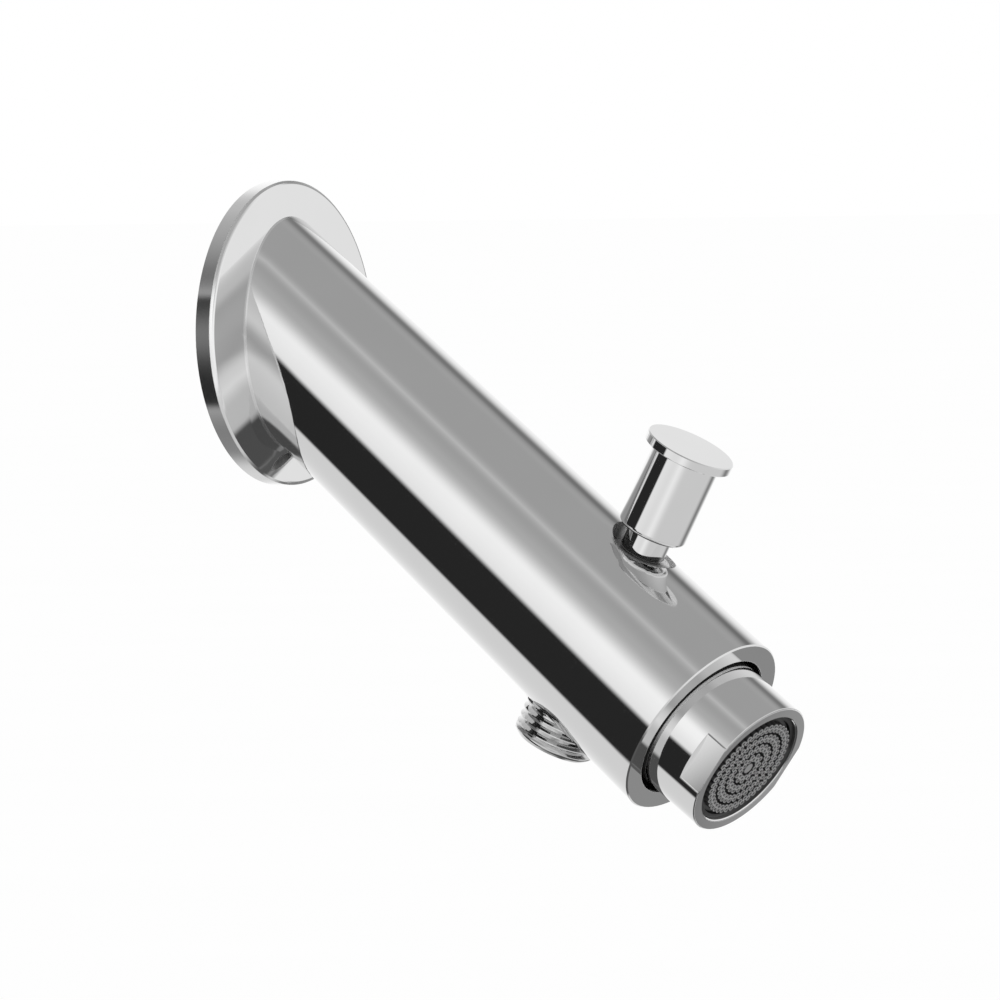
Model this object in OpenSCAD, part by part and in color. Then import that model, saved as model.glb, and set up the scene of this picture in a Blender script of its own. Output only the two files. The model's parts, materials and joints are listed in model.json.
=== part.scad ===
// Wall-mounted bath spout with a pull-up diverter and a hose outlet.
// Millimetres. The origin is the centre of the flange's back face, on the wall.
// +Z is up, -Y points out of the wall and the spout is symmetric about X = 0.

/* [Wall flange] */
// Diameter of the wall flange
flange_d = 76; // [72:1:90]
// Thickness of the wall flange
flange_t = 4.5; // [4:0.25:6]
// Bevel round the flange's front rim
flange_bevel = 0.5; // [0.2:0.1:1]
// Width of the solid rim outside the back seal
flange_rim = 2; // [1:0.5:4]
// Radial width of the back seal
seal_w = 9; // [6:0.5:9.5]
// Depth of the back seal's groove
seal_t = 2.5; // [1.5:0.25:3]

/* [Spout tube] */
// Length along the tube's axis, from the flange to the end face
spout_len = 154; // [150:1:175]
// Slope of the tube below the horizontal, in degrees
spout_drop = 40; // [38:1:42]
// Height of the tube's axis over the flange's centre
axis_rise = 0.6; // [0:0.1:1.5]
// Tube diameter at the flange
root_d = 44.4; // [44:0.2:47]
// Tube diameter at the end face
tip_d = 50.8; // [50:0.2:53]
// Thickness of the tube's wall
tube_wall = 3; // [2:0.25:3.5]
// Bevel round the tube's end
tip_bevel = 0.35; // [0.2:0.05:0.6]
// Thickness of the wall behind the flange
back_wall = 3.5; // [3:0.25:5]
// Step from the tube's root down to the spigot in the flange
spigot_step = 0.7; // [0.5:0.1:1]
// Distance of the spigot's end from the wall
spigot_back = 0.5; // [0.2:0.1:0.8]

/* [Outlet nozzle] */
// Slope of the outlet's axis below the horizontal, in degrees
tip_drop = 37.5; // [36:0.5:40]
// Outer diameter of the nozzle
nozzle_d = 37.9; // [37:0.1:38.6]
// Length of the nozzle outside the tube
nozzle_out = 17.3; // [15:0.1:20]
// Open gap round the nozzle in the tube's end
nozzle_gap = 1.5; // [1:0.1:2]
// Depth of that gap
nozzle_sink = 8; // [6:0.5:9]
// Width of the lip round the nozzle's open mouth
nozzle_lip = 3; // [2.5:0.1:3.4]
// Depth of the nozzle's two wrench flats
flats_depth = 1.35; // [1:0.05:1.6]
// Length of the wrench flats
flats_len = 6.6; // [5:0.1:9]
// Width of the shoulder between the nozzle's side and its threaded spigot
nozzle_shoulder = 2.95; // [2.5:0.05:3.2]
// Thickness of the wall that the nozzle screws into
front_wall = 7; // [5:0.5:7.5]
// Thickness of the nozzle's gasket
nozzle_gasket_t = 1.2; // [0.8:0.1:1.6]
// Width of the ledge behind the aerator, from the mouth's wall in to the nozzle's bore
nozzle_ledge = 3.45; // [3:0.05:6]
// Small bevel on the nozzle's edges
nozzle_bevel = 0.35; // [0.2:0.05:0.6]

/* [Aerator] */
// Depth of the screen's face behind the nozzle's mouth
screen_recess = 1.1; // [0.6:0.1:2]
// Length of the aerator's body
aerator_len = 10.9; // [10:0.1:11.5]
// Wall of the aerator's body
aerator_wall = 1.1; // [0.8:0.1:1.4]
// Height of the inner ledge that carries the jet plate
aerator_ledge = 1.5; // [1:0.1:2]
// Thickness of the outlet screen
screen_t = 1.6; // [1.2:0.1:2]
// Rings of holes in the outlet screen
screen_rings = 5; // [3:1:5]
// Diameter of the holes in the outlet screen
screen_hole_d = 1.1; // [0.8:0.1:1.2]
// Thickness of the jet plate
jet_plate_t = 2; // [1.5:0.1:2.5]
// Number of jets in the jet plate
jet_count = 12; // [8:1:16]
// Diameter of each jet
jet_d = 1.6; // [1:0.1:2]
// Distance of the jets' circle from the nozzle's bore
jet_inset = 3.3; // [2:0.1:5.5]
// Thickness of the fine mesh disc
mesh_t = 0.4; // [0.3:0.1:0.6]
// Thickness of the rubber washer behind the aerator
aerator_washer_t = 2; // [1.5:0.1:2.4]

/* [Diverter] */
// Distance from the diverter's axis to the tube's end face, along the tube's axis
diverter_back = 36.3; // [35.3:0.1:38]
// Lean of the diverter's axis from upright, in degrees
diverter_lean = 29.5; // [28:0.5:32]
// How far the knob lifts
lift = 8; // [6:0.5:8]
// Diameter of the knob's body
knob_d = 17.7; // [16:0.1:18.5]
// Diameter of the knob's head
knob_head_d = 23; // [21:0.2:24]
// Thickness of the knob's head
knob_head_t = 2.45; // [2:0.05:3.5]
// Height of the knob with its head
knob_len = 24.4; // [22:0.1:27]
// Diameter of the knob's neck
neck_d = 11.6; // [11:0.1:13]
// Height of the knob's body over the bush at rest, which the neck fills
neck_len = 6.1; // [4:0.1:8]
// Gap between the neck and the bush at rest
neck_gap = 0.2; // [0.1:0.1:0.5]
// Small bevel at the neck's foot
neck_bevel = 0.4; // [0.2:0.1:0.6]
// Radius round the knob's lower edge
knob_round = 1.3; // [0.5:0.1:2]
// Small bevel on the knob's head
knob_bevel = 0.25; // [0.1:0.05:0.4]
// Diameter of the diverter's stem
stem_d = 8.8; // [8:0.1:9]
// Diameter of the knob's thread on the stem
knob_thread_d = 6; // [5:0.5:6]
// Length of the knob's thread
knob_thread_len = 11; // [8:0.5:14]
// Diameter of the well round the neck, in the tube's top
well_d = 18; // [17.4:0.1:18.6]
// Diameter of the through bore that holds the diverter
cartridge_d = 19.6; // [19.4:0.1:19.8]
// Height over the tube's axis of the shoulder under the well, which the bush bears on from below
well_floor = 20.6; // [20.4:0.1:21]
// Height of the bush's collar in the well
bush_collar_t = 1.8; // [1.6:0.1:2]
// Diameter of the bush's collar
bush_collar_d = 15.4; // [14.6:0.2:16]
// Length of the bush below that shoulder
bush_len = 6.6; // [6:0.1:6.8]
// Depth of the spring's pocket in the bush
pocket_depth = 5.6; // [5:0.1:5.7]
// Diameter of the spring's pocket
pocket_d = 13; // [12.8:0.1:13.4]
// Wall between the diverter's bore and the tube's hollow
cartridge_wall = 3.8; // [3:0.2:4]
// Thickness of the cross wall that parts inlet from outlet
cross_wall = 3; // [2:0.25:4]
// Inner diameter of the valve sleeve
sleeve_bore_d = 16; // [15.6:0.1:16.4]
// Inner diameter of the two valve seats
seat_d = 11.6; // [11:0.1:12]
// Thickness of the lower seat
lower_seat_t = 3; // [2.6:0.1:3.4]
// Thickness of the upper seat
upper_seat_t = 2; // [1.9:0.1:2.2]
// Height of the lower seat's face below the tube's axis
lower_seat_depth = 10; // [9.5:0.1:10.5]
// Diameter of the sleeve's lower windows
lower_window_d = 8.6; // [6:0.2:9]
// Diameter of the sleeve's upper windows
upper_window_d = 7.6; // [6:0.2:8]
// Diameter of the stem between the seats
rod_d = 6; // [5:0.2:6.4]
// Diameter of the stem's spring collar
collar_d = 12.6; // [12:0.1:12.6]
// Thickness of the stem's spring collar
collar_t = 1.2; // [1:0.1:1.6]
// Diameter of the valve disc
valve_d = 14.8; // [14:0.1:15.2]
// Thickness of the valve disc
valve_t = 2; // [1.5:0.1:2.4]
// Thickness of each rubber valve washer
valve_washer_t = 1.2; // [1:0.1:1.4]
// Step from the valve disc's edge in to the washers'
valve_washer_inset = 0.2; // [0.1:0.1:0.6]
// Diameter of the stem's end thread
valve_thread_d = 4; // [3:0.5:4]
// Distance across the valve nut's flats
nut_w = 7; // [6.5:0.1:8]
// Height of the valve nut
nut_t = 3.2; // [2.4:0.1:3.6]

/* [Diverter spring] */
// Wire diameter of the spring
spring_wire = 0.7; // [0.6:0.1:0.9]
// Mean diameter of the spring
spring_d = 11.2; // [10.8:0.1:11.4]
// Number of coils
spring_coils = 5; // [4:0.5:6]
// Length left over when the lifted knob squeezes the spring
spring_spare = 0.5; // [0.4:0.1:1]

/* [Hose nipple] */
// Outer diameter of the half-inch pipe thread
nipple_d = 20.95; // [20.6:0.05:21.2]
// Depth of the nipple's end below the tube's axis
nipple_reach = 31.8; // [30:0.2:36]
// Width of the relief between the nipple's two lengths of thread
relief_w = 1.8; // [1.4:0.1:2.4]
// Depth of that relief
relief_depth = 1.1; // [0.9:0.1:1.3]
// How far that relief reaches out past the well's floor
relief_show = 0.4; // [0.2:0.1:0.8]
// Bore through the nipple
nipple_bore_d = 12.8; // [11:0.2:14]
// Key size of the nipple's hexagon socket
nipple_key = 12; // [10:1:14]
// Depth of that socket
nipple_key_depth = 8; // [5:0.5:10]
// Bevel at the nipple's end
nipple_bevel = 1; // [0.5:0.1:1.5]
// Diameter of the well round the nipple
nipple_well_d = 24.4; // [23:0.2:24.6]
// Height of that well's floor below the tube's axis
nipple_well_floor = 21; // [20:0.2:21.5]
// Thickness of the nipple's gasket
nipple_gasket_t = 1.2; // [0.8:0.1:1.6]

/* [Inlet connector] */
// Outer diameter of the connector
inlet_d = 26; // [25:0.2:27]
// Length of the connector
inlet_len = 20; // [19:0.5:21]
// Bore of the half-inch pipe thread in the connector
inlet_thread_d = 18.63; // [18.6:0.01:19]
// Depth of that thread
inlet_thread_len = 13; // [11:0.5:13.5]
// Water way through the connector
inlet_bore_d = 13; // [11:0.5:14]
// Key size of the connector's hexagon socket
inlet_key = 14; // [12:1:15]
// Wall round the connector's socket in the spout
socket_wall = 3.5; // [2.5:0.25:4]
// Lip at the end of that socket, which the connector butts against
socket_lip = 2; // [1.5:0.25:3]
// Depth of the connector's O-ring grooves
inlet_groove_depth = 1.3; // [1.1:0.05:1.5]
// Width of the connector's O-ring grooves
inlet_groove_w = 1.8; // [1.6:0.05:2]
// Distance between those two grooves
inlet_groove_pitch = 3.5; // [3:0.1:4]
// Distance of the fixing screw from the wall
grub_at = 8; // [7.6:0.1:8.4]
// Diameter of the fixing screw
grub_d = 4.9; // [4:0.1:5]
// Length of the fixing screw
grub_len = 8; // [6:1:12]
// Key size of the fixing screw
grub_key = 2.5; // [2:0.5:2.5]
// Depth of the groove that the fixing screw holds in
grub_groove = 0.8; // [0.4:0.1:1]
// Wall round the fixing screw's hole
grub_wall = 2.4; // [1.6:0.2:3]

/* [Fits] */
// Radial clearance of screwed and pushed-in pieces
fit_clear = 0.05; // [0.03:0.01:0.1]
// Radial clearance of the sliding stem
slide_clear = 0.05; // [0.03:0.01:0.08]
// Gap left at a valve washer's seat
seat_clear = 0.1; // [0.05:0.05:0.2]
// Gap between a seal and the walls of its groove
seal_clear = 0.03; // [0.02:0.01:0.06]
// Radial clearance of flanges and gaskets that lie loose in a recess
loose_clear = 0.15; // [0.1:0.05:0.25]
// Depth of the O-ring grooves
groove_depth = 1.15; // [1:0.05:1.3]
// Width of the O-ring grooves
groove_w = 1.6; // [1.4:0.05:1.7]

/* [Hidden] */
$fn = 96;

// Room for tools that cut right through
far = 2 * spout_len;
over = 1;

// Radii
flange_r = flange_d / 2;
nozzle_r = nozzle_d / 2;
mouth_r = nozzle_r - nozzle_lip;
nozzle_thread_r = nozzle_r - nozzle_shoulder;
nozzle_bore_r = mouth_r - nozzle_ledge;
jet_circle_r = nozzle_bore_r - jet_inset;
stem_r = stem_d / 2;
cartridge_r = cartridge_d / 2;
nipple_r = nipple_d / 2;
inlet_r = inlet_d / 2;
spigot_r = root_d / 2 - spigot_step;
socket_r = inlet_r + fit_clear;
socket_end = inlet_len + spigot_back;
plug_r = cartridge_r - fit_clear;

// Back seal between the flange's rim and its hub
seal_out = flange_r - flange_rim;
seal_in = seal_out - seal_w;

// Heights along the diverter's axis, from the tube's axis upwards
collar_face = well_floor + bush_collar_t;
neck_foot = collar_face + neck_gap;
knob_foot = collar_face + neck_len;
knob_top = knob_foot + knob_len;
bush_foot = well_floor - bush_len;
pocket_roof = bush_foot + pocket_depth;
lower_seat = -lower_seat_depth;
valve_stack = valve_t + 2 * valve_washer_t;
upper_seat = lower_seat + lift + valve_stack + 2 * seat_clear;
upper_seat_top = upper_seat + upper_seat_t;
sleeve_foot = lower_seat - lower_seat_t;
valve_foot = lower_seat + seat_clear;
rod_foot = valve_foot + valve_stack;
spring_seat = pocket_roof - lift - spring_coils * spring_wire - spring_spare;
nipple_top = sleeve_foot - nipple_gasket_t;
relief_foot = -nipple_well_floor - relief_show;
thread_past_nut = 0.3;
stem_end = valve_foot - nut_t - thread_past_nut;

// Distances along the outlet's axis, from the tube's end face outwards
gasket_face = -nozzle_sink;
shoulder_face = gasket_face + nozzle_gasket_t;
spigot_end = gasket_face - front_wall;
aerator_face = nozzle_out - screen_recess;
aerator_foot = aerator_face - aerator_len;
washer_foot = aerator_foot - aerator_washer_t;
aerator_r = mouth_r - fit_clear;
aerator_bore_r = aerator_r - aerator_wall;
insert_r = aerator_bore_r - fit_clear;
screen_foot = aerator_face - screen_t;
mesh_foot = screen_foot - mesh_t;
jet_plate_foot = aerator_foot + aerator_ledge;

// Places of the O-ring grooves: from the wall, and up the diverter's axis
spigot_ring_at = flange_t / 2;
inlet_ring_margin = 2.5;
inlet_ring_at = [for (i = [0, 1]) inlet_len - inlet_ring_margin - i * inlet_groove_pitch];
bush_ring_at = (bush_foot + well_floor) / 2;
stem_ring_at = (pocket_roof + collar_face) / 2;
sleeve_ring_at = [sleeve_foot + lower_seat_t / 2, (upper_seat + upper_seat_top) / 2];

// Heights of the centres of the sleeve's windows
lower_window_at = (lower_seat + upper_seat) / 2;
upper_window_at = (upper_seat_top + bush_foot) / 2;

// The spring's helix, which ends a hair off the two faces it bears on
spring_end_gap = 0.05;
spring_foot = spring_seat + spring_wire / 2 + spring_end_gap;
spring_head = pocket_roof - spring_wire / 2 - spring_end_gap;
spring_pitch = (spring_head - spring_foot) / spring_coils;
echo(gap_between_coils = spring_pitch - spring_wire);

// Where the diverter's axis crosses the tube's axis
diverter_at = spout_len - diverter_back;

// Tube radius at a distance along its axis
function tube_r(s) = (root_d + (tip_d - root_d) * s / spout_len) / 2;
function axis_y(s) = -flange_t - s * cos(spout_drop);
function axis_z(s) = axis_rise - s * sin(spout_drop);

// Places: children's +Z runs out of the wall, down the tube, up the diverter or out of the nozzle
module on_wall(depth = 0) { translate([0, -depth, 0]) rotate([90, 0, 0]) children(); }
module on_tube(s = 0) {
    translate([0, axis_y(0), axis_z(0)]) rotate([90 + spout_drop, 0, 0]) translate([0, 0, s]) children();
}
module on_diverter(w = 0) {
    translate([0, axis_y(diverter_at), axis_z(diverter_at)]) rotate([diverter_lean, 0, 0])
        translate([0, 0, w]) children();
}
module on_outlet(u = 0) {
    translate([0, axis_y(spout_len), axis_z(spout_len)]) rotate([90 + tip_drop, 0, 0])
        translate([0, 0, u]) children();
}
module on_grub(z = 0) { translate([0, -grub_at, z]) children(); }

// Shared shapes
module ring(r_out, r_in, h) {
    rotate_extrude() translate([r_in, 0]) square([r_out - r_in, h]);
}
// An O-ring that fills the gap between a groove's floor and the wall it faces
module o_ring(r_floor, r_wall) {
    rotate_extrude() translate([(r_floor + r_wall) / 2, 0])
        circle(abs(r_wall - r_floor) / 2 - seal_clear, $fn = 32);
}
// Cutter for a groove round the outside of a cylinder, centred on its plane
module outer_groove(r, depth, w) {
    translate([0, 0, -w / 2]) ring(r + over, r - depth, w);
}
module hex_socket(key, depth) {
    cylinder(r = key / 2 / cos(30), h = depth, $fn = 6);
}

// The tube's cone between the flange's front and the end face, made thinner by inset
module tube_cone(inset, back, front) {
    before = -tip_d;
    beyond = spout_len + tip_d / 2;
    intersection() {
        on_tube(before)
            cylinder(r1 = tube_r(before) - inset, r2 = tube_r(beyond) - inset, h = beyond - before);
        translate([-far, -far - flange_t - back, -far]) cube([2 * far, far, 2 * far]);
        on_outlet(front - far) translate([-far, -far, 0]) cube([2 * far, 2 * far, far]);
    }
}

module wall_flange() {
    color("gainsboro") on_wall() rotate_extrude() polygon([
        [spigot_r + fit_clear, 0],
        [seal_in, 0],
        [seal_in, seal_t],
        [seal_out, seal_t],
        [seal_out, 0],
        [flange_r, 0],
        [flange_r, flange_t - flange_bevel],
        [flange_r - flange_bevel, flange_t],
        [spigot_r + fit_clear, flange_t]
    ]);
}

module flange_seal() {
    color("dimgray") on_wall() ring(seal_out - seal_clear, seal_in + seal_clear, seal_t);
}

module flange_o_ring() {
    color("black") on_wall(spigot_ring_at) o_ring(spigot_r - groove_depth, spigot_r + fit_clear);
}

// Solid bosses inside the tube: inlet socket, fixing screw, diverter bore and cross wall
module body_bosses() {
    on_wall(flange_t) cylinder(r = socket_r + socket_wall, h = socket_end + socket_lip - flange_t);
    on_grub(-far) cylinder(r = grub_d / 2 + grub_wall, h = far);
    on_diverter(-far / 2) cylinder(r = cartridge_r + cartridge_wall, h = far);
    on_diverter() cube([far, cross_wall, far], center = true);
}

module body_bores() {
    on_wall(-over) cylinder(r = socket_r, h = socket_end + over);
    on_wall() cylinder(r = inlet_r - socket_lip, h = socket_end + socket_lip + over);
    on_grub(-far) cylinder(r = grub_d / 2 + fit_clear, h = far);
    on_diverter(sleeve_foot) cylinder(r = cartridge_r, h = well_floor - sleeve_foot);
    on_diverter() cylinder(r = well_d / 2, h = far);
    on_diverter(-far) cylinder(r = nipple_r + fit_clear, h = far + sleeve_foot);
    on_diverter(-far) cylinder(r = nipple_well_d / 2, h = far - nipple_well_floor);
    on_diverter(lower_window_at) rotate([-90, 0, 0])
        cylinder(r = lower_window_d / 2, h = cartridge_r + cartridge_wall + over);
    on_diverter(upper_window_at) rotate([90, 0, 0])
        cylinder(r = upper_window_d / 2, h = cartridge_r + cartridge_wall + over);
    on_outlet(gasket_face) cylinder(r = nozzle_r + nozzle_gap, h = nozzle_sink + over);
    on_outlet(spigot_end - over) cylinder(r = nozzle_thread_r + fit_clear, h = front_wall + 2 * over);
    // Bevel round the end face
    on_outlet() rotate_extrude() polygon([
        [tip_d / 2 - tip_bevel, over],
        [tip_d / 2 - tip_bevel, 0],
        [tip_d / 2 + over, -tip_bevel - over],
        [tip_d / 2 + over, over]
    ]);
}

module spout_body() {
    color("gainsboro") difference() {
        union() {
            difference() {
                tube_cone(0, 0, 0);
                tube_cone(tube_wall, back_wall, spigot_end);
            }
            intersection() {
                tube_cone(0, 0, 0);
                body_bosses();
            }
            on_wall(spigot_back) cylinder(r = spigot_r, h = flange_t - spigot_back + over / 2);
        }
        body_bores();
        on_wall(spigot_ring_at) outer_groove(spigot_r, groove_depth, groove_w);
    }
}

module inlet_connector() {
    grub_play = 0.4;
    color("darkkhaki") on_wall() difference() {
        cylinder(r = inlet_r, h = inlet_len);
        translate([0, 0, -over]) cylinder(r = inlet_thread_d / 2, h = inlet_thread_len + over);
        cylinder(r = inlet_bore_d / 2, h = inlet_len + over);
        translate([0, 0, inlet_thread_len]) hex_socket(inlet_key, inlet_len);
        translate([0, 0, grub_at]) outer_groove(inlet_r, grub_groove, grub_d + 2 * grub_play);
        for (place = inlet_ring_at) translate([0, 0, place])
            outer_groove(inlet_r, inlet_groove_depth, inlet_groove_w);
    }
}

module inlet_o_rings() {
    color("black") for (place = inlet_ring_at) on_wall(place) o_ring(inlet_r - inlet_groove_depth, socket_r);
}

module grub_screw() {
    tip = -(inlet_r - grub_groove + fit_clear);
    color("darkgray") on_grub(tip - grub_len) difference() {
        cylinder(r = grub_d / 2, h = grub_len);
        translate([0, 0, -over]) hex_socket(grub_key, grub_len / 2 + over);
    }
}

module diverter_bush() {
    color("darkgray") on_diverter() difference() {
        union() {
            translate([0, 0, bush_foot]) cylinder(r = plug_r, h = bush_len);
            translate([0, 0, bush_foot]) cylinder(r = bush_collar_d / 2, h = bush_len + bush_collar_t);
        }
        translate([0, 0, bush_foot - over]) cylinder(r = pocket_d / 2, h = pocket_depth + over);
        translate([0, 0, bush_foot]) cylinder(r = stem_r + slide_clear, h = far);
        translate([0, 0, stem_ring_at - groove_w / 2])
            cylinder(r = stem_r + slide_clear + groove_depth, h = groove_w);
        translate([0, 0, bush_ring_at]) outer_groove(plug_r, groove_depth, groove_w);
    }
}

module bush_o_ring() {
    color("black") on_diverter(bush_ring_at) o_ring(plug_r - groove_depth, cartridge_r);
}

module stem_o_ring() {
    color("black") on_diverter(stem_ring_at) o_ring(stem_r + slide_clear + groove_depth, stem_r);
}

module diverter_sleeve() {
    color("gray") on_diverter() difference() {
        translate([0, 0, sleeve_foot]) cylinder(r = plug_r, h = bush_foot - sleeve_foot);
        translate([0, 0, sleeve_foot - over]) cylinder(r = seat_d / 2, h = far);
        translate([0, 0, lower_seat]) cylinder(r = sleeve_bore_d / 2, h = upper_seat - lower_seat);
        translate([0, 0, upper_seat_top]) cylinder(r = sleeve_bore_d / 2, h = far);
        for (place = sleeve_ring_at) translate([0, 0, place]) outer_groove(plug_r, groove_depth, groove_w);
        for (turn = [0, 90]) {
            translate([0, 0, lower_window_at]) rotate([90, 0, turn])
                cylinder(r = lower_window_d / 2, h = far, center = true);
            translate([0, 0, upper_window_at]) rotate([90, 0, turn])
                cylinder(r = upper_window_d / 2, h = far, center = true);
        }
    }
}

module sleeve_o_rings() {
    color("black") for (place = sleeve_ring_at) on_diverter(place) o_ring(plug_r - groove_depth, cartridge_r);
}

// The spring's wire, swept along a helix with rings of points square to it
function helix_point(turn) =
    [spring_d / 2 * cos(360 * turn), spring_d / 2 * sin(360 * turn), spring_foot + spring_pitch * turn];

module helix_tube(turns, wire, steps, sides) {
    slope = atan(spring_pitch / (PI * spring_d));
    count = round(turns * steps);
    points = [for (i = [0:count], k = [0:sides - 1])
        let (turn = i / steps,
             a = 360 * turn,
             b = 360 * k / sides,
             out = [cos(a), sin(a), 0],
             side = [sin(a) * sin(slope), -cos(a) * sin(slope), cos(slope)])
        helix_point(turn) + wire / 2 * (cos(b) * out + sin(b) * side)];
    walls = [for (i = [0:count - 1], k = [0:sides - 1])
        let (a = i * sides + k, b = i * sides + (k + 1) % sides)
        each [[a, a + sides, b], [b, a + sides, b + sides]]];
    caps = [[for (k = [0:sides - 1]) k], [for (k = [sides - 1:-1:0]) count * sides + k]];
    polyhedron(points, concat(walls, caps), convexity = 10);
}

module diverter_spring() {
    color("silver") on_diverter() helix_tube(turns = spring_coils, wire = spring_wire, steps = 24, sides = 6);
}

module hose_nipple() {
    color("gainsboro") on_diverter() difference() {
        rotate_extrude() polygon([
            [nipple_bore_d / 2, -nipple_reach],
            [nipple_r - nipple_bevel, -nipple_reach],
            [nipple_r, -nipple_reach + nipple_bevel],
            [nipple_r, relief_foot],
            [nipple_r - relief_depth, relief_foot],
            [nipple_r - relief_depth, relief_foot + relief_w],
            [nipple_r, relief_foot + relief_w],
            [nipple_r, nipple_top],
            [nipple_bore_d / 2, nipple_top]
        ]);
        translate([0, 0, -nipple_reach - over]) hex_socket(nipple_key, nipple_key_depth + over);
    }
}

module nipple_gasket() {
    color("black") on_diverter(nipple_top) ring(nipple_r - seal_clear, nipple_bore_d / 2, nipple_gasket_t);
}

module nozzle() {
    color("gainsboro") on_outlet() difference() {
        rotate_extrude() polygon([
            [nozzle_bore_r, spigot_end],
            [nozzle_thread_r, spigot_end],
            [nozzle_thread_r, shoulder_face],
            [nozzle_r, shoulder_face],
            [nozzle_r, nozzle_out - nozzle_bevel],
            [nozzle_r - nozzle_bevel, nozzle_out],
            [mouth_r + nozzle_bevel, nozzle_out],
            [mouth_r, nozzle_out - nozzle_bevel],
            [mouth_r, washer_foot],
            [nozzle_bore_r, washer_foot]
        ]);
        for (side = [-1, 1])
            translate([side * (3 / 2 * nozzle_r - flats_depth), 0, nozzle_out - (flats_len - over) / 2])
                cube([nozzle_r, 2 * nozzle_r, flats_len + over], center = true);
    }
}

module nozzle_gasket() {
    color("black") on_outlet(gasket_face)
        ring(nozzle_r - loose_clear, nozzle_thread_r + fit_clear, nozzle_gasket_t);
}

module aerator_body() {
    color("gray") on_outlet(aerator_foot) difference() {
        cylinder(r = aerator_r, h = aerator_len);
        translate([0, 0, -over]) cylinder(r = nozzle_bore_r, h = aerator_len + 2 * over);
        translate([0, 0, aerator_ledge]) cylinder(r = aerator_bore_r, h = aerator_len);
    }
}

// The outlet screen: a plain centre, and rings of holes out to the rim
module aerator_screen() {
    centre_r = 3;
    first_ring_holes = 8;
    more_each_ring = 6;
    pitch = (insert_r - centre_r) / screen_rings;
    color("darkgray") on_outlet(screen_foot) difference() {
        cylinder(r = insert_r, h = screen_t);
        for (i = [0:screen_rings - 1], count = first_ring_holes + more_each_ring * i, k = [1:count])
            rotate([0, 0, 360 * k / count]) translate([centre_r + pitch * (i + 1 / 2), 0, -over])
                cylinder(r = screen_hole_d / 2, h = screen_t + 2 * over, $fn = 24);
    }
}

module aerator_mesh() {
    color("silver") on_outlet(mesh_foot) cylinder(r = insert_r, h = mesh_t);
}

// A plate of jets with a tall rim that carries the mesh
module jet_plate() {
    h = mesh_foot - jet_plate_foot;
    color("white") on_outlet(jet_plate_foot) difference() {
        cylinder(r = insert_r, h = h);
        translate([0, 0, jet_plate_t]) cylinder(r = insert_r - aerator_wall, h = h);
        for (k = [1:jet_count]) rotate([0, 0, 360 * k / jet_count]) translate([jet_circle_r, 0, -over])
            cylinder(r = jet_d / 2, h = jet_plate_t + 2 * over, $fn = 24);
    }
}

module aerator_washer() {
    color("black") on_outlet(washer_foot) ring(mouth_r - loose_clear, nozzle_bore_r, aerator_washer_t);
}

module diverter_stem() {
    color("gainsboro") on_diverter() rotate_extrude() polygon([
        [0, stem_end],
        [valve_thread_d / 2, stem_end],
        [valve_thread_d / 2, rod_foot],
        [rod_d / 2, rod_foot],
        [rod_d / 2, spring_seat - collar_t],
        [collar_d / 2, spring_seat - collar_t],
        [collar_d / 2, spring_seat],
        [stem_r, spring_seat],
        [stem_r, knob_foot],
        [knob_thread_d / 2, knob_foot],
        [knob_thread_d / 2, knob_foot + knob_thread_len],
        [0, knob_foot + knob_thread_len]
    ]);
}

module diverter_knob() {
    round_steps = 8;
    body_r = knob_d / 2;
    head_r = knob_head_d / 2;
    neck_r = neck_d / 2;
    hole_r = knob_thread_d / 2 + fit_clear;
    hole_top = knob_foot + knob_thread_len + over;
    neck_bore_r = stem_r + fit_clear;
    round_edge = [for (i = [0:round_steps]) let (a = 90 * i / round_steps)
        [body_r - knob_round + knob_round * sin(a), knob_foot + knob_round - knob_round * cos(a)]];
    color("gainsboro") on_diverter() rotate_extrude() polygon(concat(
        [[0, knob_top],
         [0, hole_top],
         [hole_r, hole_top],
         [hole_r, knob_foot],
         [neck_bore_r, knob_foot],
         [neck_bore_r, neck_foot],
         [neck_r - neck_bevel, neck_foot],
         [neck_r, neck_foot + neck_bevel],
         [neck_r, knob_foot]],
        round_edge,
        [[body_r, knob_top - knob_head_t],
         [head_r - knob_bevel, knob_top - knob_head_t],
         [head_r, knob_top - knob_head_t + knob_bevel],
         [head_r, knob_top - knob_bevel],
         [head_r - knob_bevel, knob_top]]
    ));
}

// One ring of the valve, at a height over the valve's foot
module valve_ring(height, h, inset = 0) {
    on_diverter(valve_foot + height) ring(valve_d / 2 - inset, valve_thread_d / 2 + fit_clear, h);
}

module valve_washer_upper() {
    color("black") valve_ring(valve_washer_t + valve_t, valve_washer_t, valve_washer_inset);
}

module valve_disc() {
    color("goldenrod") valve_ring(valve_washer_t, valve_t);
}

module valve_washer_lower() {
    color("black") valve_ring(0, valve_washer_t, valve_washer_inset);
}

module valve_nut() {
    color("goldenrod") on_diverter(valve_foot - nut_t) difference() {
        cylinder(r = nut_w / 2 / cos(30), h = nut_t, $fn = 6);
        translate([0, 0, -over]) cylinder(r = valve_thread_d / 2 + fit_clear, h = nut_t + 2 * over);
    }
}

wall_flange();
flange_seal();
flange_o_ring();
spout_body();
inlet_connector();
inlet_o_rings();
grub_screw();
diverter_bush();
bush_o_ring();
stem_o_ring();
diverter_sleeve();
sleeve_o_rings();
diverter_spring();
hose_nipple();
nipple_gasket();
nozzle();
nozzle_gasket();
aerator_body();
aerator_screen();
aerator_mesh();
jet_plate();
aerator_washer();
diverter_stem();
diverter_knob();
valve_washer_upper();
valve_disc();
valve_washer_lower();
valve_nut();
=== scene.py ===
import json
import math

import bmesh
import bpy
from mathutils import Matrix, Vector


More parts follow.
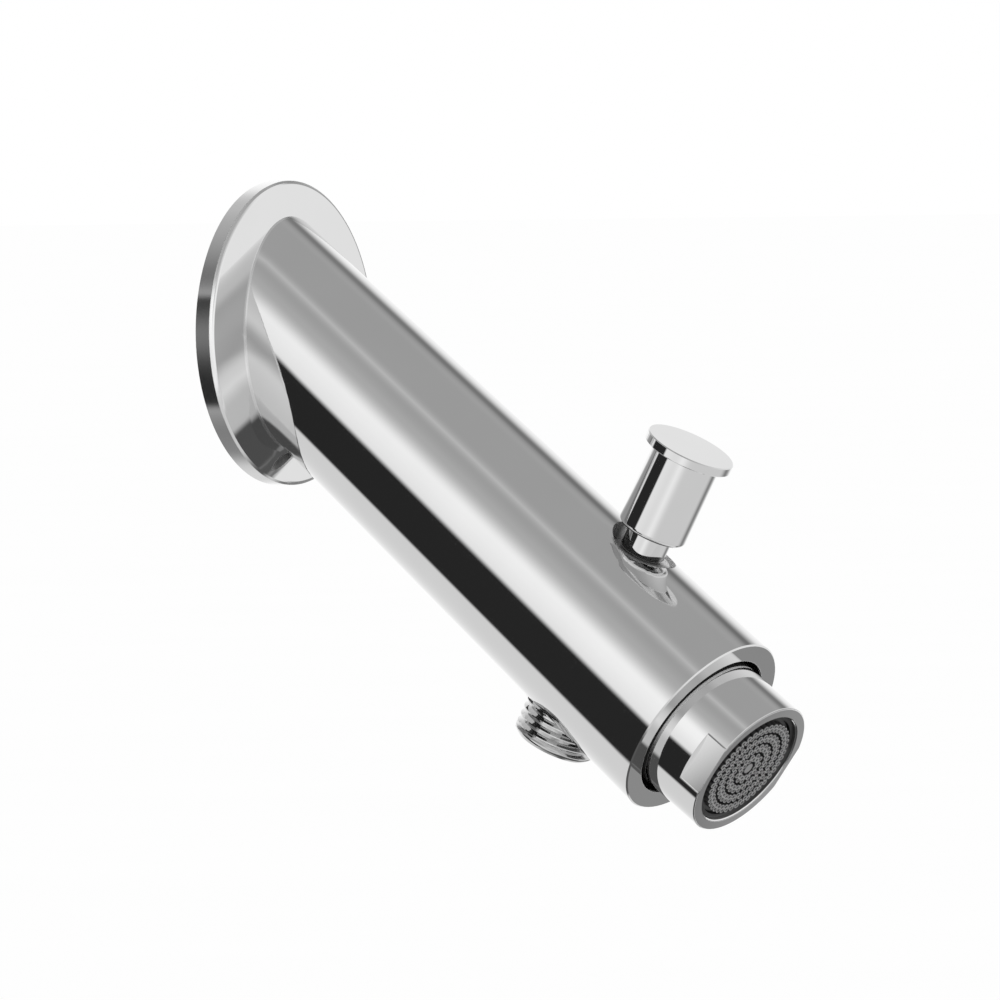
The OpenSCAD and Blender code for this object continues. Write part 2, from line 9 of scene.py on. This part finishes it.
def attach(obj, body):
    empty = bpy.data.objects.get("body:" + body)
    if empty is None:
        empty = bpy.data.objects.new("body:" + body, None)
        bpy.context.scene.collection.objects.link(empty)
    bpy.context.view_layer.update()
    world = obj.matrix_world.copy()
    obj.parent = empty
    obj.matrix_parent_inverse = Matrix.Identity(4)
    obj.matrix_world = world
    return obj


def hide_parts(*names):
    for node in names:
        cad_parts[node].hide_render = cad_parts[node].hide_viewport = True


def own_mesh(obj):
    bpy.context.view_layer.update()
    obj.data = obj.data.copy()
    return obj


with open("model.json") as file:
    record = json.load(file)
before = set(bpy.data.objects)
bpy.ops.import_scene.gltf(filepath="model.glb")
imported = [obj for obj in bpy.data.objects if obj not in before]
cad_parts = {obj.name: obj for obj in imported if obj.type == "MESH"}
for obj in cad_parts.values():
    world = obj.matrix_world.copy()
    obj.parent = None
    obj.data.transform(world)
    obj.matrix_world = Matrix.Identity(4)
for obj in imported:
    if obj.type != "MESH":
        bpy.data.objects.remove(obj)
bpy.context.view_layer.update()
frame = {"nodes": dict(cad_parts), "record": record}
scene = bpy.context.scene

# Directions in the part's frame. Azimuth 0 points out of the wall, and grows to the right.

ACROSS = Vector((1, 0, 0))
UPRIGHT = Vector((0, 0, 1))


def direction(azimuth, elevation):
    a, e = math.radians(azimuth), math.radians(elevation)
    return Vector((math.sin(a) * math.cos(e), -math.cos(a) * math.cos(e), math.sin(e)))


# The part's axes. Each place has its own Z along the axis: up the diverter, out of the nozzle,
# out of the wall and up the grub screw's hole. All lengths are in metres.

TUBE_SLOPE = math.radians(40)
TUBE_START_Y = -0.0045
TUBE_START_Z = 0.0006
TUBE_LENGTH = 0.154
OUTLET_SLOPE = math.radians(37.5)
DIVERTER_LEAN = math.radians(29.5)
DIVERTER_DOWN_TUBE = 0.1177


def down_tube(distance):
    return Vector((0, TUBE_START_Y - distance * math.cos(TUBE_SLOPE),
                   TUBE_START_Z - distance * math.sin(TUBE_SLOPE)))


DIVERTER = (Matrix.Translation(down_tube(DIVERTER_DOWN_TUBE))
            @ Matrix.Rotation(DIVERTER_LEAN, 4, "X"))
OUTLET = (Matrix.Translation(down_tube(TUBE_LENGTH))
          @ Matrix.Rotation(math.radians(90) + OUTLET_SLOPE, 4, "X"))
WALL = Matrix.Rotation(math.radians(90), 4, "X")
GRUB_HOLE = Matrix.Translation((0, -0.008, 0))

# Radii and heights round those axes where a finish, a shape, or the painted light and shade change

KNOB_WELL_RADIUS = 0.0091
HOSE_WELL_RADIUS = 0.0123
WELL_DEPTH = 0.006
GRUB_HOLE_RADIUS = 0.0028
GRUB_HOLE_TOP = -0.014
NOZZLE_WELL_RADIUS = 0.0205
NOZZLE_WELL_END = -0.018
END_FACE = -0.0006
TUBE_FOOT = 0.0049
FLANGE_FRONT = 0.004
FLANGE_EDGE = 0.0363
FLANGE_LINE = 0.0373
FLANGE_RIM = 0.0379
FLAT_FOOT = 0.0108
FLAT_RADIUS = 0.0188
MOUTH = 0.0172
SCREEN_FOOT = 0.0146
SCREEN_FACE = 0.0171

# Camera: degrees, metres, and the lens in millimetres

CAMERA_AZIMUTH = -58.09
CAMERA_ELEVATION = 0.953
CAMERA_ROLL = -0.866
CAMERA_DISTANCE = 6.2
CAMERA_SIDE = 0.055591
CAMERA_RISE = -0.041761
CAMERA_LENS = 893.1


def add_camera():
    back = direction(CAMERA_AZIMUTH, CAMERA_ELEVATION)
    a, roll = math.radians(CAMERA_AZIMUTH), math.radians(CAMERA_ROLL)
    level = Vector((math.cos(a), math.sin(a), 0))
    upright = back.cross(level)
    right = level * math.cos(roll) + upright * math.sin(roll)
    up = upright * math.cos(roll) - level * math.sin(roll)
    camera = bpy.data.objects.new("camera", bpy.data.cameras.new("camera"))
    camera.data.sensor_width = 36
    camera.data.lens = CAMERA_LENS
    camera.data.clip_end = 200
    turn = Matrix((right, up, back)).transposed().to_4x4()
    place = back * CAMERA_DISTANCE + right * CAMERA_SIDE + up * CAMERA_RISE
    camera.matrix_world = Matrix.Translation(place) @ turn
    scene.collection.objects.link(camera)
    scene.camera = camera


# Shader maths as Python expressions


class Value:
    """One shader socket, on which the usual operators add Math nodes."""

    def __init__(self, graph, socket):
        self.graph, self.socket = graph, socket

    def math(self, operation, *others):
        inputs = dict(enumerate([self, *others]))
        return self.graph.node("ShaderNodeMath", {"operation": operation}, inputs)

    def __add__(self, other): return self.math("ADD", other)
    def __radd__(self, other): return self.math("ADD", other)
    def __sub__(self, other): return self.math("SUBTRACT", other)
    def __rsub__(self, other): return (self * -1).math("ADD", other)
    def __mul__(self, other): return self.math("MULTIPLY", other)
    def __rmul__(self, other): return self.math("MULTIPLY", other)


class Graph:
    """The nodes of one material or of the world."""

    def __init__(self, tree):
        self.tree = tree
        tree.nodes.clear()

    def node(self, kind, settings=None, sockets=None, out=0):
        """Adds a node with its settings, then the values or links of its sockets."""
        made = self.tree.nodes.new(kind)
        for name, setting in (settings or {}).items():
            setattr(made, name, setting)
        for name, given in (sockets or {}).items():
            if isinstance(given, Value):
                self.tree.links.new(given.socket, made.inputs[name])
            else:
                made.inputs[name].default_value = given
        return Value(self, made.outputs[out]) if made.outputs else made

    def vector(self, operation, sockets, out=0):
        return self.node("ShaderNodeVectorMath", {"operation": operation}, sockets, out)

    def place(self):
        return self.node("ShaderNodeTexCoord", out="Object")

    def noise(self, scale, detail=2, roughness=0.5, stretch=(1, 1, 1)):
        """Noise about 0.5, with its size in cells a metre."""
        point = self.node("ShaderNodeMapping", {}, {"Vector": self.place(), "Scale": stretch})
        return self.node("ShaderNodeTexNoise", {}, {"Vector": point, "Scale": scale,
                                                    "Detail": detail, "Roughness": roughness})

    def between(self, value, low, high):
        """A smooth step from 0 to 1 as a value passes from low to high."""
        return self.node("ShaderNodeMapRange", {"interpolation_type": "SMOOTHSTEP"},
                         {"Value": value, "From Min": low, "From Max": high})

    def past(self, value, limit, soft=0.0001):
        """1 where a value is past a limit, with a soft start short of it."""
        return self.between(value, limit - soft, limit)

    def within(self, value, limit, soft=0.0001):
        """1 where a value is under a limit, with a soft end past it."""
        return self.between(value, limit + soft, limit)

    def blend(self, factor, first, second):
        """A colour between two others."""
        mix = {"Factor": factor, 6: first, 7: second}
        return self.node("ShaderNodeMix", {"data_type": "RGBA"}, mix, out=2)

    def dot(self, point, axis):
        """How far a point lies along an axis."""
        return self.vector("DOT_PRODUCT", {0: point, 1: axis}, "Value")

    def along(self, axis):
        """Distance along a direction from the part's origin, in metres."""
        return self.dot(self.place(), axis)

    def from_axis(self, place):
        """How far the surface lies along a place's Z axis and away from it, in metres."""
        axis = place.to_3x3() @ Vector((0, 0, 1))
        here = self.vector("SUBTRACT", {0: self.place(), 1: place.translation})
        along = self.dot(here, axis)
        foot = self.vector("SCALE", {0: axis, "Scale": along})
        return along, self.vector("DISTANCE", {0: here, 1: foot}, "Value")

    def bump(self, height, strength=1, distance=1):
        return self.node("ShaderNodeBump", {}, {"Height": height, "Strength": strength,
                                                "Distance": distance})


def grey(level):
    return (level, level, level, 1)


def principled(name, colour, metallic):
    """A material, its graph and its shader, with the settings that are the same all over."""
    material = bpy.data.materials.new(name)
    material.use_nodes = True
    graph = Graph(material.node_tree)
    shader = graph.tree.nodes.new("ShaderNodeBsdfPrincipled")
    shader.inputs["Base Color"].default_value = colour
    shader.inputs["Metallic"].default_value = metallic
    surface = Value(graph, shader.outputs[0])
    graph.node("ShaderNodeOutputMaterial", {}, {"Surface": surface})
    return material, graph, shader


def feed(graph, shader, **links):
    """Links values to the shader's sockets, named with underscores for spaces."""
    for name, value in links.items():
        graph.tree.links.new(value.socket, shader.inputs[name.replace("_", " ")])


# Materials


def polished_chrome():
    material, graph, shader = principled("polished_chrome", grey(0.82), 1)
    polish = graph.noise(60, 3)
    wiped = graph.noise(900, 2, stretch=(1, 0.2, 1))
    feed(graph, shader,
         Base_Color=graph.blend(polish, grey(0.80), grey(0.84)),
         Roughness=0.025 + polish * 0.03 + wiped * 0.015)
    return material


def plated(graph, shader, matt_light_and_shade, light_and_shade_colour, bright, brushed=0, **links):
    """Chrome with a matt share painted with light and shade, a bright share and a brushed share,
    from 0 to 1.
    """
    polish = graph.noise(60, 3)
    colour = graph.blend(bright, graph.blend(polish, grey(0.80), grey(0.84)), grey(0.98))
    feed(graph, shader,
         Base_Color=graph.blend(matt_light_and_shade, colour, light_and_shade_colour),
         Metallic=1 - matt_light_and_shade * 0.85,
         Roughness=0.025 + polish * 0.035 + matt_light_and_shade * 0.3 + brushed * 0.5 + bright * 0.15,
         **links)


def body_chrome(name, well_shade_grey):
    """Polished outside and bright at the wall. Matt and darkened with painted shade in the wells
    and in the grub screw's hole, and painted near black as shade in the gap round the nozzle, whose
    lip is brushed. The knob well's far wall and the grub screw's hole are painted paler as painted
    light."""
    material, graph, shader = principled(name, grey(0.82), 1)
    height, from_diverter = graph.from_axis(DIVERTER)
    out, from_outlet = graph.from_axis(OUTLET)
    raised, from_grub = graph.from_axis(GRUB_HOLE)
    off_wall = graph.from_axis(WALL)[0]
    knob_well = (graph.past(height, WELL_DEPTH, 0.002)
                 * graph.within(from_diverter, KNOB_WELL_RADIUS))
    hose_well = (graph.within(height, -WELL_DEPTH, 0.002)
                 * graph.within(from_diverter, HOSE_WELL_RADIUS))
    grub_hole = (graph.within(raised, GRUB_HOLE_TOP, 0.002)
                 * graph.within(from_grub, GRUB_HOLE_RADIUS))
    nozzle_well = graph.within(from_outlet, NOZZLE_WELL_RADIUS)
    gap = (graph.within(out, END_FACE - 0.0002, 0.0002) * nozzle_well
           * graph.past(out, NOZZLE_WELL_END, 0.002))
    lip = graph.past(out, END_FACE, 0.0002) * nozzle_well
    # Painted shade: the wells, the grub screw's hole and the gap turn matt and dark.
    matt_light_and_shade = (knob_well + hose_well + gap + grub_hole).math("MINIMUM", 1)
    far_side = graph.past(graph.along(ACROSS), 0.004, 0.003)
    # Painted light: the knob well's far wall, and a little the grub screw's hole, are painted
    # paler.
    pale = knob_well * far_side + grub_hole * 0.2
    light_and_shade_colour = graph.blend(pale, grey(well_shade_grey), grey(0.9))
    # The gap round the nozzle is painted near black as painted shade.
    plated(graph, shader, matt_light_and_shade, graph.blend(gap, light_and_shade_colour, grey(0.02)),
           bright=graph.within(off_wall, TUBE_FOOT), brushed=lip)
    return material


def flange_chrome():
    """Polished, with a finely turned rim. The front's edge is softly rounded, with a painted
    highlight on the left and a thin line of painted shade on the right."""
    material, graph, shader = principled("flange_chrome", grey(0.82), 1)
    off_wall, from_centre = graph.from_axis(WALL)
    across, upright = graph.along(ACROSS), graph.along(UPRIGHT)
    left = graph.within(across, -0.026, 0.016) * graph.past(upright, -0.006, 0.016)
    edge = left * graph.past(off_wall, FLANGE_FRONT)
    # Painted highlight: the front edge's left side is painted brighter.
    bright = edge * graph.between(from_centre, FLANGE_EDGE, FLANGE_EDGE + 0.0005)
    rounded = edge * graph.between(from_centre, FLANGE_EDGE, FLANGE_EDGE + 0.0032)
    # Painted shade: a thin dark line on the front edge's right side.
    painted_dark_line = (graph.past(from_centre, FLANGE_LINE, 0.0002) * graph.past(across, 0, 0.006)
            * graph.past(off_wall, FLANGE_FRONT - 0.0004, 0.0002))
    rim = graph.past(from_centre, FLANGE_RIM, 0.0002)
    plated(graph, shader, painted_dark_line * 0.8, grey(0.2), bright, brushed=rim * 0.16,
           Normal=graph.bump(rounded * -0.002))
    return material


def nozzle_chrome():
    """Polished outside, with wrench flats cut a little deeper towards a rounded mouth. Matt and
    painted dark as painted shade in the gap, with a ring of painted light above on the left where
    it leaves the tube."""
    material, graph, shader = principled("nozzle_chrome", grey(0.82), 1)
    out, from_outlet = graph.from_axis(OUTLET)
    upward = OUTLET.to_3x3() @ Vector((0, 1, 0))
    rise = graph.along(upward) - OUTLET.translation.dot(upward)
    # Painted shade: the part inside the gap is painted near black.
    sunk = graph.within(out, -0.0001, 0.0002)
    # Painted light: a pale matt ring on the upper side where the nozzle leaves the tube.
    painted_light_ring = (graph.past(out, 0) * graph.within(out, 0.0006)
              * graph.past(rise, 0.002, 0.010))
    flat = (graph.within(from_outlet, FLAT_RADIUS, 0.00005)
            * graph.past(out, FLAT_FOOT + 0.0001) * graph.within(out, MOUTH - 0.0001))
    into_flat = out - FLAT_FOOT
    lean = into_flat * 1.5 - rise - 0.022
    mouth = graph.between(out, MOUTH, MOUTH + 0.00005) * from_outlet * from_outlet
    plated(graph, shader, (sunk + painted_light_ring).math("MINIMUM", 1),
           graph.blend(painted_light_ring, grey(0.04), grey(0.85)), bright=flat * 0.15,
           Normal=graph.bump(flat * into_flat * lean + mouth))
    return material


def shaded_thread_chrome():
    """Chrome over a cut thread, darker than the polished chrome as painted shade, and less even."""
    material, graph, shader = principled("shaded_thread_chrome", grey(0.7), 1)
    marks = graph.noise(1500, 2)
    feed(graph, shader,
         Base_Color=graph.blend(marks, grey(0.62), grey(0.74)),
         Roughness=0.05 + marks * 0.08)
    return material


def turned_metal(name, colour, pale):
    """Bare metal, with fine marks of the cutting tool."""
    material, graph, shader = principled(name, colour, 1)
    marks = graph.noise(2500, 2)
    stain = graph.noise(120, 4, 0.6)
    feed(graph, shader,
         Base_Color=graph.blend(stain, colour, pale),
         Roughness=0.22 + marks * 0.12 + stain * 0.08,
         Normal=graph.bump(marks, 0.2, 0.00005))
    return material


def black_rubber():
    material, graph, shader = principled("black_rubber", grey(0.02), 0)
    grain = graph.noise(3000, 3)
    dust = graph.noise(200, 4, 0.6)
    feed(graph, shader,
         Base_Color=graph.blend(dust, grey(0.015), grey(0.035)),
         Roughness=0.55 + grain * 0.2,
         Normal=graph.bump(grain, 0.3, 0.00004))
    return material


def moulded_plastic(name, dark, pale, roughness):
    """Plastic, painted nearly black as painted shade behind the screen's face."""
    material, graph, shader = principled(name, dark, 0)
    grain = graph.noise(4000, 2)
    flow = graph.noise(150, 3)
    out = graph.from_axis(OUTLET)[0]
    # Painted shade: deeper than the screen's face the colour goes nearly black.
    painted_shade_deep = graph.within(out, SCREEN_FACE - 0.00035, 0.0003)
    feed(graph, shader,
         Base_Color=graph.blend(painted_shade_deep * 0.9, graph.blend(flow, dark, pale), grey(0.01)),
         Roughness=roughness + grain * 0.1,
         Normal=graph.bump(grain, 0.15, 0.00003))
    return material


# Finishes of the record's material slots, of single nodes, and of the thread

FINISHES = {
    "chrome": polished_chrome(),
    "raw_brass": turned_metal("turned_brass", (0.62, 0.45, 0.19, 1), (0.72, 0.55, 0.28, 1)),
    "steel": turned_metal("stainless_steel", grey(0.52), grey(0.6)),
    "rubber": black_rubber(),
    "grey_plastic": moulded_plastic("grey_plastic", grey(0.46), grey(0.54), 0.35),
    "white_plastic": moulded_plastic("white_plastic", grey(0.72), grey(0.78), 0.3),
}
OWN_FINISHES = {
    "spout_body": body_chrome("body_chrome", 0.14),
    "diverter_bush": body_chrome("bush_chrome", 0.2),
    "wall_flange": flange_chrome(),
    "nozzle": nozzle_chrome(),
    "aerator_body": moulded_plastic("dark_casing", grey(0.025), grey(0.04), 0.4),
}
SHADED_THREAD_CHROME = shaded_thread_chrome()


def finish_nodes():
    for part in frame["record"]["subparts"]:
        mesh = frame["nodes"][part["node"]].data
        mesh.materials.clear()
        mesh.materials.append(FINISHES[part["material_slot"]])
    for node, material in OWN_FINISHES.items():
        frame["nodes"][node].data.materials[0] = material


# New pieces


def add_piece(name, bm, place, material, body, node):
    """Makes a mesh of a shape drawn round its own Z axis, and puts it in place of a CAD node."""
    bmesh.ops.recalc_face_normals(bm, faces=bm.faces)
    bmesh.ops.transform(bm, matrix=place, verts=bm.verts)
    mesh = bpy.data.meshes.new(name)
    bm.to_mesh(mesh)
    bm.free()
    mesh.materials.append(material)
    piece = bpy.data.objects.new(name, mesh)
    scene.collection.objects.link(piece)
    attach(piece, body)
    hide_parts(node)
    return piece


def wind(bm, corners, edges, turns, rise, steps):
    """Winds a closed outline up round the Z axis, and closes both ends."""
    wound = bmesh.ops.spin(bm, geom=corners + edges, cent=(0, 0, 0), axis=(0, 0, 1),
                           angle=math.tau * turns, dvec=(0, 0, rise / steps), steps=steps)
    last = [made for made in wound["geom_last"] if isinstance(made, bmesh.types.BMEdge)]
    bmesh.ops.holes_fill(bm, edges=edges + last)


THREAD_PITCH = 0.00207
THREAD_CREST = 0.01055
THREAD_ROOT = 0.0093
THREAD_SINK = 0.0003
THREAD_TOP = -0.0205
THREAD_END = -0.0301
THREAD_STEPS = 320
TOOTH_FOOT = 0.46
TOOTH_CREST = 0.07
TURNED_FROM = -0.021
COLLAR_TOP = -0.0302
COLLAR_EDGE = 0.0003
JOIN = 1e-6


def threaded_nipple():
    """The nipple's own body, turned down to the thread's root above its end collar, with the
    thread wound on."""
    bm = bmesh.new()
    bm.from_mesh(frame["nodes"]["hose_nipple"].data)
    bmesh.ops.remove_doubles(bm, verts=bm.verts, dist=JOIN)
    bmesh.ops.transform(bm, matrix=DIVERTER.inverted(), verts=bm.verts)
    for height in (COLLAR_TOP, COLLAR_TOP + COLLAR_EDGE):
        bmesh.ops.bisect_plane(bm, geom=bm.verts[:] + bm.edges[:] + bm.faces[:], dist=JOIN,
                               plane_co=(0, 0, height), plane_no=(0, 0, 1))
    for corner in bm.verts:
        away = math.hypot(corner.co.x, corner.co.y)
        if away > THREAD_ROOT and COLLAR_TOP + COLLAR_EDGE - 0.0001 < corner.co.z < TURNED_FROM:
            corner.co.x *= THREAD_ROOT / away
            corner.co.y *= THREAD_ROOT / away
    half_foot, half_crest = THREAD_PITCH * TOOTH_FOOT, THREAD_PITCH * TOOTH_CREST
    foot = THREAD_ROOT - THREAD_SINK
    tooth = [(foot, -half_foot), (THREAD_CREST, -half_crest),
             (THREAD_CREST, half_crest), (foot, half_foot)]
    corners = [bm.verts.new((away, 0, THREAD_END + height)) for away, height in tooth]
    edges = [bm.edges.new((corners[i], corners[(i + 1) % 4])) for i in range(4)]
    rise = THREAD_TOP - THREAD_END
    wind(bm, corners, edges, rise / THREAD_PITCH, rise, THREAD_STEPS)
    add_piece("threaded_nipple", bm, DIVERTER, SHADED_THREAD_CHROME, "spout", "hose_nipple")


# The outlet screen's short tubes: their inner and outer rows' distance from the middle, and how
# many each row has. Then the plate that they stand on and the boss: radius, sides and height.

BANDS = [
    (0.0029, 0.0039, 11),
    (0.0059, 0.0069, 21),
    (0.0089, 0.00995, 31),
    (0.0120, 0.01305, 42),
]
SHORT_TUBE_RADIUS = 0.00072
SHORT_TUBE_BEVEL = 0.00006
SHORT_TUBE_WALL = 0.00010
SHORT_TUBE_HOLE = 0.0010
SCREEN_PLATE = (0.01475, 96, 0.0006)
SCREEN_BOSS = (0.00155, 20, 0.0023)


def outlet_screen():
    """Bands of short tubes with blind holes, staggered in two rows each, and a plain boss."""
    bm = bmesh.new()
    tips = []
    for inner, outer, count in BANDS:
        for i in range(count):
            for away, turn in ((inner, i), (outer, i + 0.5)):
                place = (Matrix.Rotation(math.tau * turn / count, 4, "Z")
                         @ Matrix.Translation((away, 0, SCREEN_FOOT)))
                disc = bmesh.ops.create_circle(bm, cap_ends=True, segments=10,
                                               radius=SHORT_TUBE_RADIUS, matrix=place)
                tips.append(disc["verts"][0].link_faces[0])

    def push(faces, height):
        faces = bmesh.ops.extrude_discrete_faces(bm, faces=faces)["faces"]
        corners = [corner for face in faces for corner in face.verts]
        bmesh.ops.translate(bm, vec=(0, 0, height), verts=corners)
        return faces

    tips = push(tips, SCREEN_FACE - SCREEN_FOOT - SHORT_TUBE_BEVEL)
    bmesh.ops.inset_individual(bm, faces=tips, thickness=SHORT_TUBE_BEVEL, depth=SHORT_TUBE_BEVEL)
    bmesh.ops.inset_individual(bm, faces=tips, thickness=SHORT_TUBE_WALL, depth=0)
    push(tips, -SHORT_TUBE_HOLE)
    for radius, sides, height in (SCREEN_PLATE, SCREEN_BOSS):
        middle = Matrix.Translation((0, 0, SCREEN_FOOT + height / 2))
        bmesh.ops.create_cone(bm, cap_ends=True, segments=sides, radius1=radius,
                              radius2=radius - 0.0001, depth=height, matrix=middle)
    add_piece("outlet_screen", bm, OUTLET, FINISHES["grey_plastic"], "spout",
              "aerator_screen")


SPRING_WIRE = 0.0007
SPRING_RADIUS = 0.0056
SPRING_COILS = 5
SPRING_STEPS = 120


def return_spring():
    """The wound spring between the bush and the stem's collar, at rest; the mesh is not made to
    shorten as the knob is lifted."""
    to_diverter = DIVERTER.inverted()
    heights = [(to_diverter @ corner.co).z
               for corner in frame["nodes"]["diverter_spring"].data.vertices]
    foot, top = min(heights), max(heights)
    bm = bmesh.new()
    place = (Matrix.Translation((SPRING_RADIUS, 0, foot + SPRING_WIRE / 2))
             @ Matrix.Rotation(math.radians(90), 4, "X"))
    bmesh.ops.create_circle(bm, segments=8, radius=SPRING_WIRE / 2, matrix=place)
    wind(bm, bm.verts[:], bm.edges[:], SPRING_COILS, top - foot - SPRING_WIRE, SPRING_STEPS)
    spring = add_piece("return_spring", bm, DIVERTER, FINISHES["steel"], "spout",
                       "diverter_spring")
    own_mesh(spring)


# Studio: what the chrome mirrors, by direction. The level falls from the horizon to the zenith and
# to the ground, and each light or dark card is painted over the ones before it.
# A card's azimuth, elevation, half width, half height, tilt and soft edge in degrees, and its level

HORIZON = 0.90
ZENITH = 0.39
ZENITH_FROM = 60
GROUND = 0.68
GROUND_FROM = -40
CARDS = {
    "backdrop": (137, 4, 33, 36, 0, 40, 1.06),
    "loft": (156, 52, 28, 5, 0, 22, 0.60),
    "back_floor": (165, -30, 40, 12, 0, 20, 0.74),
    "streak": (89, 36, 8, 8, 0, 21, 0.09),
    "grey_card": (84, -26, 14, 10, 0, 24, 0.19),
    "low_key": (-76, -25, 14, 5, 0, 24, 1.02),
    "top_light": (-64, 64, 3, 3, 0, 15, 0.66),
    "gable": (-148, 38, 42, 11, 0, 22, 0.19),
    "key": (-104, 20, 9, 15, -20, 24, 1.1),
    "floor_card": (-168, -56, 24, 8, 0, 20, 0.22),
    "below": (95, -86, 29, 29, 0, 9, 0.10),
    "bench": (98, -47, 14, 11, 0, 8, 0.12),
    "lens": (-40, 11, 34, 9, 30, 20, 0.47),
    "door": (-141.6, -10, 20.4, 35, -4, 5, 0.022),
}


def studio_level(graph, ray):
    """How bright the studio is in a ray's direction."""
    height = graph.dot(ray, UPRIGHT).math("ARCSINE").math("DEGREES")
    up = graph.between(height, 0, ZENITH_FROM)
    down = graph.between(height, 0, GROUND_FROM)
    level = HORIZON * (1 - up) * (1 - down) + up * ZENITH + down * GROUND
    for azimuth, elevation, half_width, half_height, tilt, soft, card_level in CARDS.values():
        middle = direction(azimuth, elevation)
        side = direction(azimuth + 90, 0)
        over = middle.cross(side)
        if over.z < 0:
            over = -over
        lean = math.radians(tilt)
        wide = side * math.cos(lean) + over * math.sin(lean)
        tall = over * math.cos(lean) - side * math.sin(lean)
        across = graph.dot(ray, wide).math("ARCTAN2", graph.dot(ray, middle)).math("DEGREES")
        upright = graph.dot(ray, tall).math("ARCSINE").math("DEGREES")
        mask = (graph.within(across.math("ABSOLUTE"), half_width - soft / 2, soft)
                * graph.within(upright.math("ABSOLUTE"), half_height - soft / 2, soft))
        level = level * (1 - mask) + mask * card_level
    return level


def background(graph, level, strength):
    return graph.node("ShaderNodeBackground", {}, {"Color": grey(level), "Strength": strength})


def light_world():
    """Soft light on the object, the painted studio in its mirror, and plain white behind it."""
    world = bpy.data.worlds.new("studio")
    world.use_nodes = True
    world.cycles.sampling_method = "NONE"
    scene.world = world
    graph = Graph(world.node_tree)
    ray = graph.node("ShaderNodeTexCoord", out="Generated")
    glossy = graph.node("ShaderNodeLightPath", out="Is Glossy Ray")
    camera = graph.node("ShaderNodeLightPath", out="Is Camera Ray")
    soft = background(graph, 0.8, 1)
    mirrored = background(graph, 1, studio_level(graph, ray))
    white = background(graph, 1, 1)
    unseen = graph.node("ShaderNodeMixShader", {}, {0: glossy, 1: soft, 2: mirrored})
    seen = graph.node("ShaderNodeMixShader", {}, {0: camera, 1: unseen, 2: white})
    graph.node("ShaderNodeOutputWorld", {}, {"Surface": seen})


def add_sun():
    sun = bpy.data.objects.new("sun", bpy.data.lights.new("sun", "SUN"))
    sun.data.energy = 0.6
    sun.data.angle = math.radians(30)
    sun.rotation_euler = direction(-40, 62).to_track_quat("Z", "Y").to_euler()
    sun.visible_glossy = False
    scene.collection.objects.link(sun)


FLOOR_SIZE = 60
FLOOR_HEIGHT = -0.35
FLOOR_GLOW = 0.22


def add_floor():
    """A pale, matt floor, a little brighter to the camera than to the object."""
    material = bpy.data.materials.new("pale_floor")
    material.use_nodes = True
    graph = Graph(material.node_tree)
    camera = graph.node("ShaderNodeLightPath", out="Is Camera Ray")
    colour = graph.blend(graph.noise(3, 2), grey(0.79), grey(0.80))
    matt = graph.node("ShaderNodeBsdfDiffuse", {}, {"Color": colour})
    glow = graph.node("ShaderNodeEmission", {}, {"Color": grey(1), "Strength": camera * FLOOR_GLOW})
    lit = graph.node("ShaderNodeAddShader", {}, {0: matt, 1: glow})
    graph.node("ShaderNodeOutputMaterial", {}, {"Surface": lit})
    bm = bmesh.new()
    bmesh.ops.create_grid(bm, x_segments=1, y_segments=1, size=FLOOR_SIZE,
                          matrix=Matrix.Translation((0, 0, FLOOR_HEIGHT)))
    mesh = bpy.data.meshes.new("floor")
    bm.to_mesh(mesh)
    bm.free()
    mesh.materials.append(material)
    floor = bpy.data.objects.new("floor", mesh)
    floor.visible_glossy = False
    scene.collection.objects.link(floor)


scene.view_settings.view_transform = "Standard"
add_camera()
light_world()
add_sun()
add_floor()
finish_nodes()
threaded_nipple()
outlet_screen()
return_spring()
